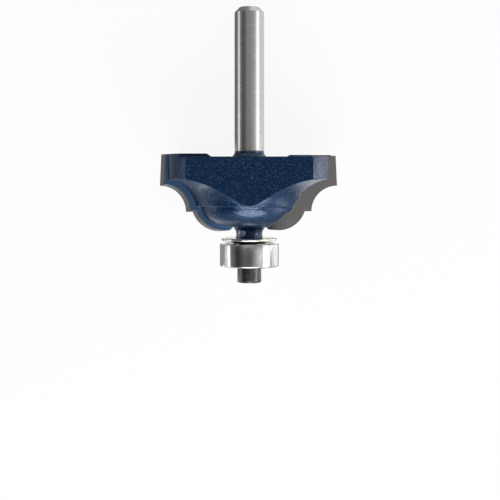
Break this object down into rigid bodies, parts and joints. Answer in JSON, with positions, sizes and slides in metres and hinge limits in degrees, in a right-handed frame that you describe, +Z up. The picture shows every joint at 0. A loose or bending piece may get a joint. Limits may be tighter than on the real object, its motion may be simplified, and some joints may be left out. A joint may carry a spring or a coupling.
{
  "type": "router bit",
  "caption": "Profile router bit with a round shank, a painted two-wing head with brazed carbide tips and a ball bearing pilot held by a socket screw.",
  "frame": {"origin": "on the floor under the middle of the bit's length, with the bit lying on its back milled flat", "axes": "+Y along the bit's axis towards the shank's free end, +Z up out of the front milled flat, +X towards the wing whose carbide face looks up"},
  "size_m": [0.038, 0.059, 0.0244],
  "materials": {
    "painted_steel": "dark blue metallic paint on the head and neck, ground bare steel on the shank",
    "carbide": "finely ground matte grey carbide",
    "braze": "thin silver braze",
    "bright_steel": "bright turned steel",
    "black_steel": "blackened turned steel",
    "bearing_steel": "ground and polished bearing steel",
    "shield_steel": "pressed sheet steel",
    "ball_steel": "polished balls",
    "cage_steel": "stamped steel",
    "black_oxide": "black oxide screw"
  },
  "bodies": {
    "tool": {"body": "painted_steel", "carbide_tip_right": "carbide", "carbide_tip_left": "carbide", "braze_layer_right": "braze", "braze_layer_left": "braze", "shield_washer": "bright_steel", "cone_spacer": "black_steel", "bearing_inner_ring": "bearing_steel", "clamp_washer": "black_steel", "pilot_screw": "black_oxide"},
    "outer_ring": {"bearing_outer_ring": "bearing_steel", "bearing_shield_upper": "shield_steel", "bearing_shield_lower": "shield_steel"},
    "ball_cage": {"ball_cage": "cage_steel"},
    "ball_1": {"bearing_ball_1": "ball_steel"},
    "ball_2": {"bearing_ball_2": "ball_steel"},
    "ball_3": {"bearing_ball_3": "ball_steel"},
    "ball_4": {"bearing_ball_4": "ball_steel"},
    "ball_5": {"bearing_ball_5": "ball_steel"},
    "ball_6": {"bearing_ball_6": "ball_steel"},
    "ball_7": {"bearing_ball_7": "ball_steel"}
  },
  "joints": [
    {"name": "outer_ring_spin", "type": "hinge", "parent": "tool", "child": "outer_ring", "pos_m": [0, -0.02358, 0.0122], "axis": [0, 1, 0], "continuous": true},
    {"name": "ball_cage_spin", "type": "hinge", "parent": "tool", "child": "ball_cage", "pos_m": [0, -0.02358, 0.0122], "axis": [0, 1, 0], "continuous": true},
    {"name": "ball_1_spin", "type": "hinge", "parent": "ball_cage", "child": "ball_1", "pos_m": [0.00437, -0.02358, 0.0122], "axis": [0, 1, 0], "continuous": true},
    {"name": "ball_2_spin", "type": "hinge", "parent": "ball_cage", "child": "ball_2", "pos_m": [0.00272, -0.02358, 0.00879], "axis": [0, 1, 0], "continuous": true},
    {"name": "ball_3_spin", "type": "hinge", "parent": "ball_cage", "child": "ball_3", "pos_m": [-0.00097, -0.02358, 0.00794], "axis": [0, 1, 0], "continuous": true},
    {"name": "ball_4_spin", "type": "hinge", "parent": "ball_cage", "child": "ball_4", "pos_m": [-0.00393, -0.02358, 0.01031], "axis": [0, 1, 0], "continuous": true},
    {"name": "ball_5_spin", "type": "hinge", "parent": "ball_cage", "child": "ball_5", "pos_m": [-0.00393, -0.02358, 0.01409], "axis": [0, 1, 0], "continuous": true},
    {"name": "ball_6_spin", "type": "hinge", "parent": "ball_cage", "child": "ball_6", "pos_m": [-0.00097, -0.02358, 0.01646], "axis": [0, 1, 0], "continuous": true},
    {"name": "ball_7_spin", "type": "hinge", "parent": "ball_cage", "child": "ball_7", "pos_m": [0.00272, -0.02358, 0.01561], "axis": [0, 1, 0], "continuous": true}
  ],
  "couplings": [
    {"joint": "ball_cage_spin", "follows": "outer_ring_spin", "ratio": 0.63635},
    {"joint": "ball_1_spin", "follows": "outer_ring_spin", "ratio": 1.6972},
    {"joint": "ball_2_spin", "follows": "outer_ring_spin", "ratio": 1.6972},
    {"joint": "ball_3_spin", "follows": "outer_ring_spin", "ratio": 1.6972},
    {"joint": "ball_4_spin", "follows": "outer_ring_spin", "ratio": 1.6972},
    {"joint": "ball_5_spin", "follows": "outer_ring_spin", "ratio": 1.6972},
    {"joint": "ball_6_spin", "follows": "outer_ring_spin", "ratio": 1.6972},
    {"joint": "ball_7_spin", "follows": "outer_ring_spin", "ratio": 1.6972}
  ]
}
